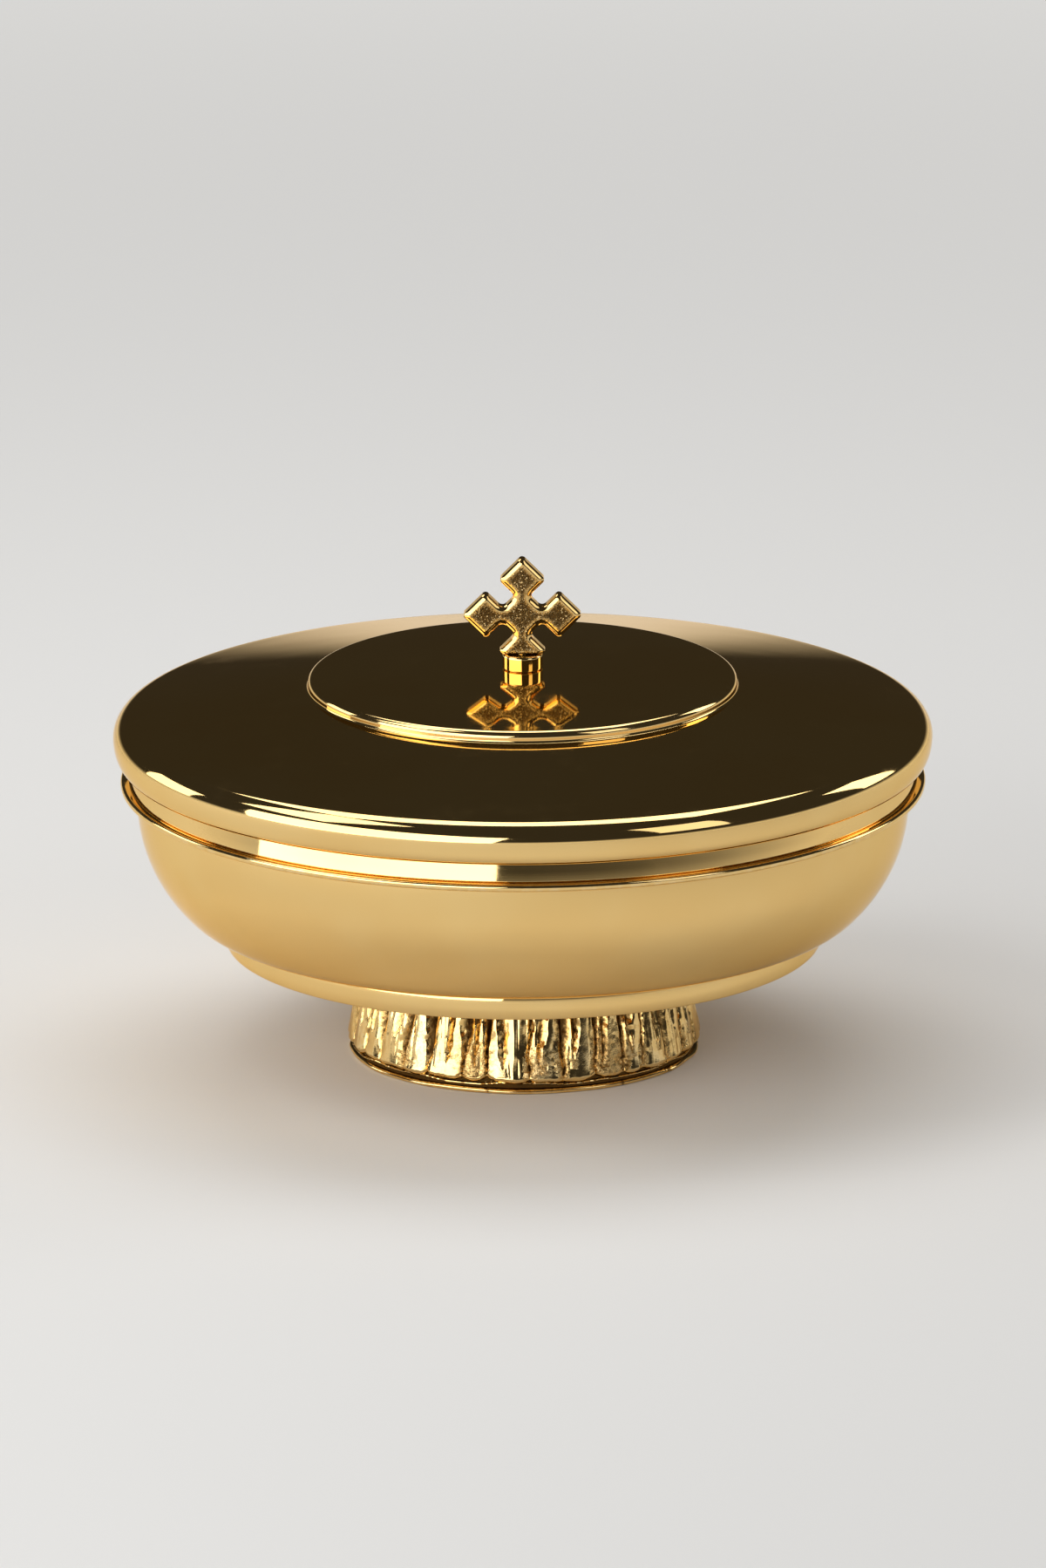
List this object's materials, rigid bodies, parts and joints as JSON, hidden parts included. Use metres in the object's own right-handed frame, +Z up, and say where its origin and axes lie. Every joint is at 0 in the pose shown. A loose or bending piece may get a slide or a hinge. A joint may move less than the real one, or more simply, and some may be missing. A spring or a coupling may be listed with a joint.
{
  "type": "ciborium",
  "caption": "Low wide gilt ciborium: a shallow bowl on a fluted cast foot with a drip saucer, and a lift-off lid with a raised centre disc and a cross finial.",
  "frame": {"origin": "on the axis of foot, bowl and lid, in the plane of the table that the foot stands on", "axes": "+Z up along that axis; the cross stands in the XZ plane and its front faces -Y"},
  "size_m": [0.16, 0.16, 0.0992],
  "materials": {
    "polished_gilt": "mirror polished gold plate on spun brass",
    "cast_gilt": "gold plate on a grained brass casting, raised parts polished",
    "plain_brass": "turned brass, satin, unplated"
  },
  "bodies": {
    "bowl": {"bowl_shell": "polished_gilt", "bowl_ledge_ring": "polished_gilt", "drip_saucer": "polished_gilt", "foot_casting": "cast_gilt", "foot_stud": "plain_brass", "foot_washer": "plain_brass", "foot_nut": "plain_brass"},
    "lid": {"lid_shell": "polished_gilt", "lid_skirt": "polished_gilt", "cross_finial": "cast_gilt", "finial_collar": "polished_gilt", "finial_washer": "plain_brass", "finial_nut": "plain_brass"}
  },
  "joints": [
    {"name": "lid_lift", "type": "slide", "parent": "bowl", "child": "lid", "axis": [0, 0, 1], "range_m": [0, 0.08]}
  ]
}
